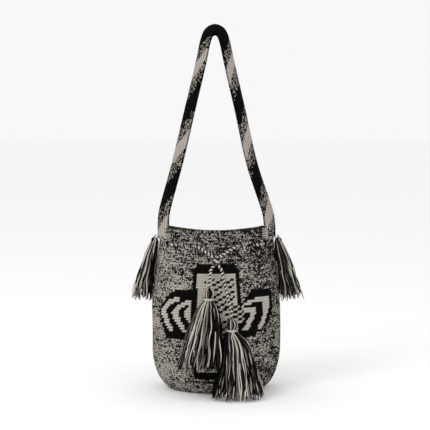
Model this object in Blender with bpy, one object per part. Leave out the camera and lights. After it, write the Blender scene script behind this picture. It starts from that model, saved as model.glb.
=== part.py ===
"""Wayuu mochila: a crocheted bucket bag with a gathered mouth, a cord drawn through
eyelets with a tassel on each end, a broad shoulder strap and a fringe at each strap end.

Metres, +Z up.  The front faces -Y.  The origin is the middle of the flat base.
"""
import math

import bmesh
import bpy
from mathutils import Vector

for old in list(bpy.data.objects):
    bpy.data.objects.remove(old, do_unlink=True)

# Bag: an oval tube that rises from a flat oval base. Pairs are (half width, half depth).
BAG_HEIGHT = 0.308
BASE_HALF = (0.078, 0.060)
BELLY_HALF = (0.1205, 0.083)
MOUTH_HALF = (0.106, 0.050)
CORNER_HEIGHT = 0.080
TAPER_START = (0.150, 0.110)
WALL = 0.004
RIM_CROWN = 0.0012
FRONT_DIP = 0.007
BACK_DIP = 0.015
BAG_SEGMENTS = 44
CORNER_RINGS = 7
WALL_RINGS = 10

# Eyelets: distances round the wall from the middle of the front, mirrored to the other side.
EYELET_HEIGHT = 0.277
EYELET_ARCS = (0.043, 0.074, 0.092, 0.172, 0.202, 0.250)
EYELET_HALF = (0.0080, 0.0046)
EYELET_SIDES = 10

# Strap: a woven band curled lengthwise, sewn over the outside of both sides.
STRAP_WIDTH = 0.070
STRAP_THICK = 0.004
STRAP_GAP = 0.0006
STRAP_END = 0.286
STRAP_CURL_TOP = 0.72
STRAP_ACROSS = 10
STRAP_SPACING = 0.022
STRAP_LINE = (
    (-0.1052, 0.340), (-0.0822, 0.424), (-0.0580, 0.524), (-0.0371, 0.611), (-0.0285, 0.652),
    (-0.0195, 0.6730), (-0.0028, 0.681), (0.0139, 0.6730), (0.0229, 0.652), (0.0319, 0.611),
    (0.0522, 0.524), (0.0750, 0.424), (0.1030, 0.340),
)

# Sewing yarn round each strap end.
YARN_RADIUS = 0.0009
YARN_GAP = 0.0004

# Drawstring: its ends cross in a half knot on the front and run down to the tassels.
CORD_RADIUS = 0.0026
CORD_GAP = 0.0009
CORD_STEP = 0.015
LACE_LEAD = 0.007
KNOT_MIDDLE = (-0.0005, -0.0655)
KNOT_TOP = 0.2545
KNOT_BOTTOM = 0.2405
KNOT_RADIUS = 0.0030
KNOT_STEPS = 8
LEFT_DROP = (
    (-0.0140, -0.0845, 0.2014), (-0.0138, -0.0838, 0.2080), (-0.0122, -0.0790, 0.2170),
    (-0.0105, -0.0715, 0.2310),
)
RIGHT_DROP = (
    (0.0273, -0.0918, 0.1450), (0.0270, -0.0912, 0.1520), (0.0248, -0.0865, 0.1650),
    (0.0208, -0.0815, 0.1800), (0.0168, -0.0770, 0.1970), (0.0128, -0.0725, 0.2140),
    (0.0102, -0.0693, 0.2290),
)
FRONT_SLANT = ((0.0100, -0.0650, 0.2565), (0.0240, -0.0615, 0.2660), (0.0360, -0.0585, 0.2728))

# Tassels: a round head, a tied neck and a skirt of yarn. Each skirt section is
# (height, centre x, centre y, half width, half depth).
FRONT_HEAD = 0.0106
FRONT_NECK = 0.0075
SIDE_HEAD = 0.0060
SIDE_NECK = 0.0045
NECK_LENGTH = 0.0034
TIE_RADIUS = 0.0012
TASSEL_SEGMENTS = 20
TIE_SIDES = 6
LEFT_HEAD_AT = (-0.0140, -0.0845, 0.1900)
LEFT_SKIRT = (
    (0.1700, -0.0148, -0.0865, 0.0120, 0.0092), (0.1580, -0.0167, -0.0895, 0.0190, 0.0105),
    (0.1300, -0.0200, -0.0960, 0.0265, 0.0140), (0.1000, -0.0245, -0.0993, 0.0320, 0.0165),
    (0.0700, -0.0285, -0.1012, 0.0355, 0.0190), (0.0560, -0.0300, -0.1020, 0.0360, 0.0190),
    (0.0536, -0.0300, -0.1020, 0.0340, 0.0170),
)
RIGHT_HEAD_AT = (0.0273, -0.0918, 0.1335)
RIGHT_SKIRT = (
    (0.1140, 0.0292, -0.0918, 0.0120, 0.0095), (0.1060, 0.0327, -0.0925, 0.0175, 0.0112),
    (0.0900, 0.0365, -0.0960, 0.0240, 0.0150), (0.0630, 0.0385, -0.1010, 0.0290, 0.0190),
    (0.0350, 0.0392, -0.1070, 0.0355, 0.0230), (0.0100, 0.0385, -0.1120, 0.0420, 0.0270),
    (0.0070, 0.0385, -0.1120, 0.0395, 0.0245),
)
SIDE_HEAD_AT = (0.1165, 0.0, 0.2790)
SIDE_SKIRT = (
    (0.2640, 0.1185, 0.0, 0.0058, 0.0070), (0.2500, 0.1235, 0.0, 0.0085, 0.0110),
    (0.2250, 0.1305, 0.0, 0.0115, 0.0155), (0.2000, 0.1362, 0.0, 0.0145, 0.0190),
    (0.1740, 0.1398, 0.0, 0.0165, 0.0220), (0.1720, 0.1398, 0.0, 0.0150, 0.0200),
)


def ease(t):
    t = min(max(t, 0.0), 1.0)
    return t * t * (3.0 - 2.0 * t)


def oval_at(z, inset=0.0):
    """Half width and half depth of the bag's wall at height z, inset from the outer face."""
    if z < CORNER_HEIGHT:
        turn = (CORNER_HEIGHT - z) / (CORNER_HEIGHT - inset)
        swell = math.sqrt(max(0.0, 1.0 - turn * turn))
        return [base + (belly - inset - base) * swell
                for base, belly in zip(BASE_HALF, BELLY_HALF)]
    halves = []
    for belly, mouth, start in zip(BELLY_HALF, MOUTH_HALF, TAPER_START):
        narrow = ease((z - start) / (BAG_HEIGHT - start))
        halves.append(belly + (mouth - belly) * narrow - inset)
    return halves


def dip_at(angle, z):
    """How far the sagging rim pulls the wall down at this angle and height."""
    depth = FRONT_DIP if math.sin(angle) < 0.0 else BACK_DIP
    return depth * math.sin(angle) ** 2 * (z / BAG_HEIGHT) ** 3


def wall_point(angle, z, out=0.0):
    """A point on the outer wall, moved out along the oval's own normal."""
    half_x, half_y = oval_at(z)
    x, y = half_x * math.cos(angle), half_y * math.sin(angle)
    normal = Vector((math.cos(angle) / half_x, math.sin(angle) / half_y, 0.0)).normalized()
    return Vector((x, y, z - dip_at(angle, z))) + normal * out


def walk_oval(half_x, half_y, start, distance, direction):
    """The angle reached after walking a distance along an oval."""
    angle, left, step = start, distance, 0.0004
    while left > 0.0:
        speed = math.hypot(half_x * math.sin(angle), half_y * math.cos(angle))
        angle += direction * min(step, left) / speed
        left -= step
    return angle


def lace_angle(arc):
    """The wall angle at a distance round from the middle of the front, leftwards."""
    half_x, half_y = oval_at(EYELET_HEIGHT)
    return walk_oval(half_x, half_y, -math.pi / 2, arc, -1.0)


def wall_girth():
    """The distance once round the wall at the eyelets."""
    half_x, half_y = oval_at(EYELET_HEIGHT)
    steps = 2000
    turn = 2 * math.pi / steps
    return sum(math.hypot(half_x * math.sin(i * turn), half_y * math.cos(i * turn)) * turn
               for i in range(steps))


def smooth_line(points, spacing):
    """Points of a Catmull-Rom curve through the given points, about one spacing apart."""
    points = [Vector(p) for p in points]
    first = points[0] * 2 - points[1]
    last = points[-1] * 2 - points[-2]
    padded = [first] + points + [last]
    line = []
    for a, b, c, d in zip(padded, padded[1:], padded[2:], padded[3:]):
        parts = max(1, math.ceil((c - b).length / spacing))
        for i in range(parts):
            t = i / parts
            line.append(0.5 * ((2 * b) + (c - a) * t + (2 * a - 5 * b + 4 * c - d) * t * t
                               + (3 * b - a - 3 * c + d) * t * t * t))
    line.append(points[-1])
    return line


def yarn_material(name, colour, roughness=0.9):
    material = bpy.data.materials.new(name)
    material.use_nodes = True
    shader = material.node_tree.nodes["Principled BSDF"]
    shader.inputs["Base Color"].default_value = (*colour, 1.0)
    shader.inputs["Roughness"].default_value = roughness
    shader.inputs["Metallic"].default_value = 0.0
    return material


def add_object(name, data, colour, at=(0.0, 0.0, 0.0)):
    body = bpy.data.objects.new(name, data)
    body.location = at
    data.materials.append(yarn_material(name + "_yarn", colour))
    bpy.context.collection.objects.link(body)
    return body


def skin_rings(name, rings, wrap=False):
    """A closed mesh through rings of equal count; its ends are capped unless it wraps."""
    shape = bmesh.new()
    loops = [[shape.verts.new(point) for point in ring] for ring in rings]
    count = len(loops[0])
    pairs = list(zip(loops, loops[1:] + ([loops[0]] if wrap else [])))
    for low, high in pairs:
        for i in range(count):
            j = (i + 1) % count
            shape.faces.new((low[i], low[j], high[j], high[i]))
    if not wrap:
        shape.faces.new(loops[0])
        shape.faces.new(loops[-1])
    bmesh.ops.recalc_face_normals(shape, faces=shape.faces)
    mesh = bpy.data.meshes.new(name)
    shape.to_mesh(mesh)
    shape.free()
    mesh.shade_smooth()
    mesh.set_sharp_from_angle(angle=math.radians(50))
    return mesh


def oval_ring(centre, half_x, half_y, segments):
    turn = 2 * math.pi / segments
    return [Vector(centre) + Vector((half_x * math.cos(i * turn), half_y * math.sin(i * turn), 0.0))
            for i in range(segments)]


def bag_ring(z, inset, lift=0.0):
    half_x, half_y = oval_at(z, inset)
    ring = oval_ring((0.0, 0.0, 0.0), half_x, half_y, BAG_SEGMENTS)
    for i, point in enumerate(ring):
        point.z = z + lift - dip_at(2 * math.pi * i / BAG_SEGMENTS, z)
    return ring


def bag_heights(inset):
    """Ring heights up one face of the wall: closer together round the corner."""
    rise = CORNER_HEIGHT - inset
    corner = [CORNER_HEIGHT - rise * math.cos(math.pi / 2 * i / CORNER_RINGS)
              for i in range(CORNER_RINGS + 1)]
    wall = [CORNER_HEIGHT + (BAG_HEIGHT - CORNER_HEIGHT) * (i + 1) / WALL_RINGS
            for i in range(WALL_RINGS)]
    return corner + wall


def eyelet_arcs():
    girth = wall_girth()
    return list(EYELET_ARCS) + [girth - arc for arc in reversed(EYELET_ARCS)]


def eyelet_cutter():
    """One flat oval plug for each eyelet, all in one cutting object."""
    shape = bmesh.new()
    for arc in eyelet_arcs():
        angle = lace_angle(arc)
        middle = wall_point(angle, EYELET_HEIGHT, -WALL / 2)
        normal = (wall_point(angle, EYELET_HEIGHT, 1.0) - wall_point(angle, EYELET_HEIGHT)).normalized()
        along = Vector((0.0, 0.0, 1.0)).cross(normal)
        ends = []
        for reach in (-WALL * 1.6, WALL * 1.6):
            turn = 2 * math.pi / EYELET_SIDES
            ends.append([shape.verts.new(
                middle + normal * reach + along * (EYELET_HALF[0] * math.cos(i * turn))
                + Vector((0.0, 0.0, EYELET_HALF[1] * math.sin(i * turn))))
                for i in range(EYELET_SIDES)])
        for i in range(EYELET_SIDES):
            j = (i + 1) % EYELET_SIDES
            shape.faces.new((ends[0][i], ends[0][j], ends[1][j], ends[1][i]))
        shape.faces.new(ends[0])
        shape.faces.new(ends[1])
    bmesh.ops.recalc_face_normals(shape, faces=shape.faces)
    mesh = bpy.data.meshes.new("eyelet_cutter")
    shape.to_mesh(mesh)
    shape.free()
    cutter = bpy.data.objects.new("eyelet_cutter", mesh)
    bpy.context.collection.objects.link(cutter)
    cutter.hide_render = True
    cutter.display_type = "WIRE"
    return cutter


def make_bag():
    outside = [bag_ring(z, 0.0) for z in bag_heights(0.0)]
    crown = bag_ring(BAG_HEIGHT, WALL / 2, RIM_CROWN)
    inside = [bag_ring(z, WALL) for z in reversed(bag_heights(WALL))]
    mesh = skin_rings("bag_body", outside + [crown] + inside)
    bag = add_object("bag_body", mesh, (0.16, 0.145, 0.13))
    cut = bag.modifiers.new("eyelets", "BOOLEAN")
    cut.operation = "DIFFERENCE"
    cut.solver = "EXACT"
    cut.object = eyelet_cutter()
    return bag


def strap_section(half_x, half_y, curl):
    """Half the band's width each way round an oval: (drop behind the crest, y, normal)."""
    reach = walk_oval(half_x, half_y, 0.0, STRAP_WIDTH / 2, 1.0)
    section = []
    for i in range(STRAP_ACROSS + 1):
        angle = reach * (2.0 * i / STRAP_ACROSS - 1.0)
        drop = -half_x * (1.0 - math.cos(angle)) * curl
        lean = Vector((math.cos(angle) / (half_x * curl), math.sin(angle) / half_y)).normalized()
        section.append((drop, half_y * math.sin(angle), lean))
    return section


def strap_ring(point, outward, halves, curl):
    """The band's cross-section at one station of its line in the XZ plane."""
    seat = STRAP_GAP + STRAP_THICK / 2
    section = strap_section(halves[0] + seat, halves[1] + seat, curl)
    outer, inner = [], []
    for drop, y, lean in section:
        for face, side in ((outer, 0.5), (inner, -0.5)):
            out = drop + lean.x * side * STRAP_THICK
            across = y + lean.y * side * STRAP_THICK
            face.append(Vector((point.x + outward.x * out, across, point.z + outward.z * out)))
    return outer + inner[::-1]


def sewn_stations(side):
    """Points on the bag's side that the strap end lies on, from its end up to the rim."""
    seat = STRAP_GAP + STRAP_THICK / 2
    heights = (STRAP_END, (STRAP_END + BAG_HEIGHT) / 2, BAG_HEIGHT)
    return [Vector((side * (oval_at(z)[0] + seat), 0.0, z)) for z in heights]


def make_strap():
    left, right = sewn_stations(-1.0), sewn_stations(1.0)
    free = [Vector((x, 0.0, z)) for x, z in STRAP_LINE]
    line = smooth_line(left + free + right[::-1], STRAP_SPACING)
    top = max(point.z for point in line)
    rings = []
    for i, point in enumerate(line):
        ahead = line[min(i + 1, len(line) - 1)] - line[max(i - 1, 0)]
        outward = Vector((-ahead.z, 0.0, ahead.x)).normalized()
        if point.z <= BAG_HEIGHT:
            outward = Vector((math.copysign(1.0, point.x), 0.0, 0.0))
        height = min(point.z, BAG_HEIGHT)
        curl = 1.0 + (STRAP_CURL_TOP - 1.0) * ease((point.z - 0.5 * top) / (0.5 * top))
        rings.append(strap_ring(point, outward, oval_at(height), curl))
    return add_object("shoulder_strap", skin_rings("shoulder_strap", rings), (0.20, 0.18, 0.165))


def add_tube(name, points, radius, colour):
    """A round cord along the points, closed at both ends."""
    curve = bpy.data.curves.new(name, "CURVE")
    curve.dimensions = "3D"
    curve.bevel_depth = radius
    curve.bevel_resolution = 2
    curve.use_fill_caps = True
    spline = curve.splines.new("POLY")
    spline.points.add(len(points) - 1)
    for slot, point in zip(spline.points, points):
        slot.co = (*point, 1.0)
    return add_object(name, curve, colour)


def make_strap_stitching(name, side):
    """Yarn laid round the strap's end, in the corner between the strap and the wall."""
    rise = YARN_RADIUS + YARN_GAP
    half_x, half_y = oval_at(STRAP_END)
    seat = STRAP_GAP + STRAP_THICK / 2
    reach = walk_oval(half_x + seat, half_y + seat, 0.0, STRAP_WIDTH / 2, 1.0)
    edge = reach + (rise + 0.0006) / half_y
    low, high = STRAP_END - rise - 0.0003, BAG_HEIGHT - 0.004
    corner = 0.0016
    route = [(-edge, high), (-edge, (low + high) / 2), (-edge, low + corner), (-edge + 0.03, low)]
    route += [(edge * t, low) for t in (-0.75, -0.5, -0.25, 0.0, 0.25, 0.5, 0.75)]
    route += [(edge - 0.03, low), (edge, low + corner), (edge, (low + high) / 2), (edge, high)]
    centre = 0.0 if side > 0 else math.pi
    points = []
    for angle, z in route:
        turned = centre + angle
        point = wall_point(turned, z, rise)
        point.z = z
        points.append(point)
    return add_tube(name, smooth_line(points, 0.005), YARN_RADIUS, (0.42, 0.39, 0.35))


def half_knot(start_angle, rising):
    """One full turn of a cord end round the other, from the knot's foot or from its top."""
    points = []
    for i in range(KNOT_STEPS + 1):
        t = i / KNOT_STEPS
        angle = start_angle + 2 * math.pi * t
        z = KNOT_BOTTOM + (KNOT_TOP - KNOT_BOTTOM) * t
        points.append(Vector((KNOT_MIDDLE[0] + KNOT_RADIUS * math.cos(angle),
                              KNOT_MIDDLE[1] + KNOT_RADIUS * math.sin(angle), z)))
    return points if rising else points[::-1]


def lace_points():
    """The cord in and out of the eyelets, once round the mouth."""
    outside = CORD_RADIUS + CORD_GAP
    inside = -(WALL + outside)
    arcs = eyelet_arcs()
    points = []
    within = True
    for i, (here, there) in enumerate(zip(arcs, arcs[1:])):
        points.append(wall_point(lace_angle(here), EYELET_HEIGHT, -WALL / 2))
        out = inside if within else outside
        run = there - here - 2 * LACE_LEAD
        parts = max(1, math.ceil(run / (2 * CORD_STEP)))
        for k in range(parts + 1):
            arc = here + LACE_LEAD + run * k / parts
            points.append(wall_point(lace_angle(arc), EYELET_HEIGHT, out))
        within = not within
    points.append(wall_point(lace_angle(arcs[-1]), EYELET_HEIGHT, -WALL / 2))
    return points


def make_drawstring():
    slant = [Vector(p) for p in FRONT_SLANT]
    left_slant = [Vector((-p.x, p.y, p.z)) for p in slant]
    left_down = smooth_line(LEFT_DROP, CORD_STEP)
    right_down = smooth_line(RIGHT_DROP, CORD_STEP)
    lace = smooth_line(left_slant + lace_points() + slant[::-1], CORD_STEP)
    points = left_down + half_knot(math.pi, True) + lace + half_knot(0.0, False) + right_down[::-1]
    return add_tube("drawstring", points, CORD_RADIUS, (0.22, 0.20, 0.18))


def tassel_rings(head, neck, head_at, skirt):
    """Rings about the head's middle: the round head, the straight neck, then the skirt."""
    origin = Vector(head_at)
    rings = []
    for degrees in (12, 30, 50, 70, 90, 110, 128):
        angle = math.radians(degrees)
        radius = head * math.sin(angle)
        rings.append(oval_ring((0, 0, head * math.cos(angle)), radius, radius, TASSEL_SEGMENTS))
    neck_top = -head * 0.84
    for z in (neck_top, neck_top - NECK_LENGTH):
        rings.append(oval_ring((0, 0, z), neck, neck, TASSEL_SEGMENTS))
    for z, x, y, half_x, half_y in skirt:
        rings.append(oval_ring(Vector((x, y, z)) - origin, half_x, half_y, TASSEL_SEGMENTS))
    return rings


def make_tassel(name, head, neck, head_at, skirt, colour):
    """A tassel and the yarn tied round its neck. Both turn about the middle of the head."""
    mesh = skin_rings(name, tassel_rings(head, neck, head_at, skirt))
    tassel = add_object(name, mesh, colour, head_at)
    ring_radius = neck + 0.0003 + TIE_RADIUS
    sections = []
    for i in range(TASSEL_SEGMENTS):
        angle = 2 * math.pi * i / TASSEL_SEGMENTS
        out = Vector((math.cos(angle), math.sin(angle), 0.0))
        section = []
        for k in range(TIE_SIDES):
            turn = 2 * math.pi * k / TIE_SIDES
            section.append(out * (ring_radius + TIE_RADIUS * math.cos(turn))
                           + Vector((0.0, 0.0, TIE_RADIUS * math.sin(turn))))
        sections.append(section)
    middle = (0.0, 0.0, -head * 0.84 - NECK_LENGTH / 2)
    tie = add_object(name + "_tie", skin_rings(name + "_tie", sections, wrap=True),
                     (0.45, 0.42, 0.38), middle)
    tie.parent = tassel
    return tassel


def mirrored(values):
    """Tassel measures with every centre x on the other side."""
    return tuple((z, -x, y, half_x, half_y) for z, x, y, half_x, half_y in values)


def make_tassels():
    yarn = (0.13, 0.125, 0.12)
    make_tassel("front_left_tassel", FRONT_HEAD, FRONT_NECK, LEFT_HEAD_AT, LEFT_SKIRT, yarn)
    make_tassel("front_right_tassel", FRONT_HEAD, FRONT_NECK, RIGHT_HEAD_AT, RIGHT_SKIRT, yarn)
    left_at = (-SIDE_HEAD_AT[0], SIDE_HEAD_AT[1], SIDE_HEAD_AT[2])
    make_tassel("left_side_tassel", SIDE_HEAD, SIDE_NECK, left_at, mirrored(SIDE_SKIRT), yarn)
    make_tassel("right_side_tassel", SIDE_HEAD, SIDE_NECK, SIDE_HEAD_AT, SIDE_SKIRT, yarn)


make_bag()
make_strap()
make_strap_stitching("left_strap_stitching", -1.0)
make_strap_stitching("right_strap_stitching", 1.0)
make_drawstring()
make_tassels()
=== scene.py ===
import math
import random
import bpy
import numpy as np
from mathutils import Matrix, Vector


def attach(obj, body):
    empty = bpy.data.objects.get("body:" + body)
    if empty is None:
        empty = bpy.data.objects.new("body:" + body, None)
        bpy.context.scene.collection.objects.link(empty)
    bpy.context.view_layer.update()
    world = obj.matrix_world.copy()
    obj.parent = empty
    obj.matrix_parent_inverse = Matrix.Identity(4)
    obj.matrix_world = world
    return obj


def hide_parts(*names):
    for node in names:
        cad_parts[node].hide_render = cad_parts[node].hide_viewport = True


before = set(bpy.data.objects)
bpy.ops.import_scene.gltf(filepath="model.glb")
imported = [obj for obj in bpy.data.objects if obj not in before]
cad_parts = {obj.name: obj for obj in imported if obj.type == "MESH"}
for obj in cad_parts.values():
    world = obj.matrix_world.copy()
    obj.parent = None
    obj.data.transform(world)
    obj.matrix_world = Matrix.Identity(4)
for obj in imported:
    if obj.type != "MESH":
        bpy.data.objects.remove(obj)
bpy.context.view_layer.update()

print("frame loaded")

# A long lens, well back and a little above the bag's middle.
cameraView = {
    "distance": 2.4,
    "height": 0.5,
    "aimHeight": 0.327,
    "sideShift": -0.0028,
    "lens": 107.2,
    "sensor": 36.0,
}


def placeCamera():
    lensData = bpy.data.cameras.new("studioCamera")
    lensData.lens = cameraView["lens"]
    lensData.sensor_width = cameraView["sensor"]
    camera = bpy.data.objects.new("studioCamera", lensData)
    camera.location = (cameraView["sideShift"], -cameraView["distance"], cameraView["height"])
    drop = cameraView["height"] - cameraView["aimHeight"]
    camera.rotation_euler = (math.pi / 2 - math.atan2(drop, cameraView["distance"]), 0.0, 0.0)
    bpy.context.collection.objects.link(camera)
    bpy.context.scene.camera = camera


placeCamera()
print("camera placed")

# The oval wall, the same as the frame's: (half width, half depth) at base, belly and mouth.
bagShape = {
    "height": 0.308,
    "base": (0.078, 0.060),
    "belly": (0.1205, 0.083),
    "mouth": (0.106, 0.050),
    "corner": 0.080,
    "taperStart": (0.150, 0.110),
    "wall": 0.004,
    "frontDip": 0.007,
    "backDip": 0.015,
}


def ease(t):
    t = min(max(t, 0.0), 1.0)
    return t * t * (3.0 - 2.0 * t)


def ovalAt(z):
    corner = bagShape["corner"]
    if z < corner:
        turn = (corner - z) / corner
        swell = math.sqrt(max(0.0, 1.0 - turn * turn))
        return [base + (belly - base) * swell
                for base, belly in zip(bagShape["base"], bagShape["belly"])]
    halves = []
    for belly, mouth, start in zip(bagShape["belly"], bagShape["mouth"], bagShape["taperStart"]):
        narrow = ease((z - start) / (bagShape["height"] - start))
        halves.append(belly + (mouth - belly) * narrow)
    return halves


def dipAt(angle, z):
    depth = bagShape["frontDip"] if math.sin(angle) < 0.0 else bagShape["backDip"]
    return depth * math.sin(angle) ** 2 * (z / bagShape["height"]) ** 3


def wallPoint(angle, z, out=0.0):
    halfX, halfY = ovalAt(z)
    normal = Vector((math.cos(angle) / halfX, math.sin(angle) / halfY, 0.0)).normalized()
    spot = Vector((halfX * math.cos(angle), halfY * math.sin(angle), z - dipAt(angle, z)))
    return spot + normal * out


def walkOval(halfX, halfY, start, distance, direction):
    angle, left, step = start, distance, 0.0004
    while left > 0.0:
        speed = math.hypot(halfX * math.sin(angle), halfY * math.cos(angle))
        angle += direction * min(step, left) / speed
        left -= step
    return angle


def smoothLine(points, spacing):
    points = [Vector(p) for p in points]
    padded = [points[0] * 2 - points[1]] + points + [points[-1] * 2 - points[-2]]
    line = []
    for a, b, c, d in zip(padded, padded[1:], padded[2:], padded[3:]):
        parts = max(1, math.ceil((c - b).length / spacing))
        for i in range(parts):
            t = i / parts
            line.append(0.5 * ((2 * b) + (c - a) * t + (2 * a - 5 * b + 4 * c - d) * t * t
                               + (3 * b - a - 3 * c + d) * t * t * t))
    line.append(points[-1])
    return line


# Tone runs from 0, the black yarn, to 1, the cream yarn.
yarnLook = {
    "black": (0.0040, 0.0034, 0.0032),
    "grey": (0.120, 0.112, 0.104),
    "cream": (0.60, 0.55, 0.49),
    "roughness": 0.92,
    "sheen": 0.0,
    "sheenRoughness": 0.6,
    "shine": 0.03,
    "fibreScale": 1500.0,
    "fibreDetail": 3.0,
    "fibreShade": (0.7, 0.62),
    "fibreBump": 0.35,
    "fibreHeight": 0.0006,
    "cloudScale": 38.0,
    "cloudDetail": 2.0,
    # Painted shade: how much the yarn's colour darkens in the grooves between stitches and ribs.
    "paintedGrooveShade": 0.58,
}


def scaleAndShift(nodes, links, source, scale, shift):
    step = nodes.new("ShaderNodeMath")
    step.operation = "MULTIPLY_ADD"
    step.inputs[1].default_value = scale
    step.inputs[2].default_value = shift
    links.new(source, step.inputs[0])
    return step.outputs[0]


def timesEach(nodes, links, first, second):
    step = nodes.new("ShaderNodeMath")
    step.operation = "MULTIPLY"
    links.new(first, step.inputs[0])
    links.new(second, step.inputs[1])
    return step.outputs[0]


def yarnFinish(name, cream=yarnLook["cream"], blotch=0.16):
    finish = bpy.data.materials.new(name)
    finish.use_nodes = True
    nodes, links = finish.node_tree.nodes, finish.node_tree.links
    shader = nodes["Principled BSDF"]
    shader.inputs["Roughness"].default_value = yarnLook["roughness"]
    shader.inputs["Sheen Weight"].default_value = yarnLook["sheen"]
    shader.inputs["Sheen Roughness"].default_value = yarnLook["sheenRoughness"]
    shader.inputs["Specular IOR Level"].default_value = yarnLook["shine"]
    tone = nodes.new("ShaderNodeAttribute")
    tone.attribute_name = "tone"
    ramp = nodes.new("ShaderNodeValToRGB")
    ramp.color_ramp.elements[0].color = (*yarnLook["black"], 1.0)
    ramp.color_ramp.elements[1].color = (*cream, 1.0)
    middle = ramp.color_ramp.elements.new(0.5)
    middle.color = (*yarnLook["grey"], 1.0)
    links.new(tone.outputs["Fac"], ramp.inputs["Fac"])
    place = nodes.new("ShaderNodeTexCoord")
    fibres = nodes.new("ShaderNodeTexNoise")
    fibres.inputs["Scale"].default_value = yarnLook["fibreScale"]
    fibres.inputs["Detail"].default_value = yarnLook["fibreDetail"]
    links.new(place.outputs["Object"], fibres.inputs["Vector"])
    cloud = nodes.new("ShaderNodeTexNoise")
    cloud.inputs["Scale"].default_value = yarnLook["cloudScale"]
    cloud.inputs["Detail"].default_value = yarnLook["cloudDetail"]
    links.new(place.outputs["Object"], cloud.inputs["Vector"])
    # Painted shade: the groove attribute darkens the base colour in the hollows between stitches and
    # ribs.
    grooveShadeMask = nodes.new("ShaderNodeAttribute")
    grooveShadeMask.attribute_name = "groove"
    shade = scaleAndShift(nodes, links, fibres.outputs["Fac"], *yarnLook["fibreShade"])
    drift = scaleAndShift(nodes, links, cloud.outputs["Fac"], blotch * 2, 1.0 - blotch)
    depth = scaleAndShift(nodes, links, grooveShadeMask.outputs["Fac"], -yarnLook["paintedGrooveShade"], 1.0)
    soft = timesEach(nodes, links, shade, drift)
    both = timesEach(nodes, links, soft, depth)
    tint = nodes.new("ShaderNodeVectorMath")
    tint.operation = "SCALE"
    links.new(ramp.outputs["Color"], tint.inputs[0])
    links.new(both, tint.inputs["Scale"])
    links.new(tint.outputs["Vector"], shader.inputs["Base Color"])
    fuzz = nodes.new("ShaderNodeBump")
    fuzz.inputs["Strength"].default_value = yarnLook["fibreBump"]
    fuzz.inputs["Distance"].default_value = yarnLook["fibreHeight"]
    links.new(fibres.outputs["Fac"], fuzz.inputs["Height"])
    links.new(fuzz.outputs["Normal"], shader.inputs["Normal"])
    return finish


crochetYarn = yarnFinish("crochetYarn")
# The strap's yarn has a darker cream: painted shade, as the strap stands in shade.
shadedBandYarn = yarnFinish("shadedBandYarn", cream=(0.50, 0.45, 0.40))
cordYarn = yarnFinish("cordYarn", blotch=0.05)
tasselYarn = yarnFinish("tasselYarn", cream=(0.60, 0.55, 0.48), blotch=0.10)
sewingYarn = yarnFinish("sewingYarn", blotch=0.05)


def addMesh(name, points, faces, tones, finish, perFace, grooveShadeMask=None):
    mesh = bpy.data.meshes.new(name)
    mesh.from_pydata([tuple(p) for p in points], [], faces)
    mesh.update()
    layer = mesh.attributes.new("tone", "FLOAT", "FACE" if perFace else "POINT")
    layer.data.foreach_set("value", np.asarray(tones, dtype=np.float32))
    # The per-point groove values are the mask for the painted shade in the hollows.
    if grooveShadeMask is not None:
        shadeLayer = mesh.attributes.new("groove", "FLOAT", "POINT")
        shadeLayer.data.foreach_set("value", np.asarray(grooveShadeMask, dtype=np.float32))
    mesh.shade_smooth()
    mesh.materials.append(finish)
    piece = bpy.data.objects.new(name, mesh)
    bpy.context.collection.objects.link(piece)
    return piece


# Every strand is (points, radii, tone): a round yarn closed at both ends.
def addYarns(name, strands, sides, finish):
    points, faces, tones = [], [], []
    turns = [2 * math.pi * i / sides for i in range(sides)]
    ring = [(math.cos(t), math.sin(t)) for t in turns]
    for line, radii, tone in strands:
        start = len(points)
        across = (line[1] - line[0]).orthogonal().normalized()
        for i, spot in enumerate(line):
            ahead = (line[min(i + 1, len(line) - 1)] - line[max(i - 1, 0)]).normalized()
            across = (across - ahead * across.dot(ahead)).normalized()
            side = ahead.cross(across)
            points += [spot + (across * c + side * s) * radii[i] for c, s in ring]
        count = len(line)
        for i in range(count - 1):
            low = start + i * sides
            for k in range(sides):
                j = (k + 1) % sides
                faces.append((low + k, low + j, low + sides + j, low + sides + k))
        faces.append(tuple(range(start + sides - 1, start - 1, -1)))
        last = start + (count - 1) * sides
        faces.append(tuple(range(last, last + sides)))
        tones += [tone] * (count * sides)
    return addMesh(name, points, faces, tones, finish, False)


# Arcs run along the wall from the front's middle to each eyelet of one half.
eyelets = {
    "height": 0.277,
    "arcs": (0.043, 0.074, 0.092, 0.172, 0.202, 0.250),
    "halfWidth": 0.0066,
    "halfHeight": 0.0042,
}
drawstring = {
    "radius": 0.0026,
    "gap": 0.0009,
    "lead": 0.007,
    "knotMiddle": (-0.0005, -0.0655),
    "knotTop": 0.2545,
    "knotBottom": 0.2405,
    "knotRadius": 0.0030,
    "knotSteps": 8,
    "twist": 0.0072,
    "step": 0.015,
    "ringStep": 0.0012,
    "routeStep": 0.004,
    "sides": 14,
    "lobe": (0.78, 0.30, 0.7),
    "yarnTones": (0.88, 0.04),
    "toneSpread": 0.06,
    "seed": 5,
    "leftDrop": (
        (-0.0140, -0.0845, 0.2014), (-0.0138, -0.0838, 0.2080), (-0.0122, -0.0790, 0.2170),
        (-0.0105, -0.0715, 0.2310)),
    "rightDrop": (
        (0.0273, -0.0918, 0.1450), (0.0270, -0.0912, 0.1520), (0.0248, -0.0865, 0.1650),
        (0.0208, -0.0815, 0.1800), (0.0168, -0.0770, 0.1970), (0.0128, -0.0725, 0.2140),
        (0.0102, -0.0693, 0.2290)),
    "slant": ((0.0100, -0.0650, 0.2565), (0.0240, -0.0615, 0.2660), (0.0360, -0.0585, 0.2728)),
}


def ovalGirth(halfX, halfY, steps=2000):
    turn = 2 * math.pi / steps
    return sum(math.hypot(halfX * math.sin(i * turn), halfY * math.cos(i * turn)) * turn
               for i in range(steps))


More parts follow.
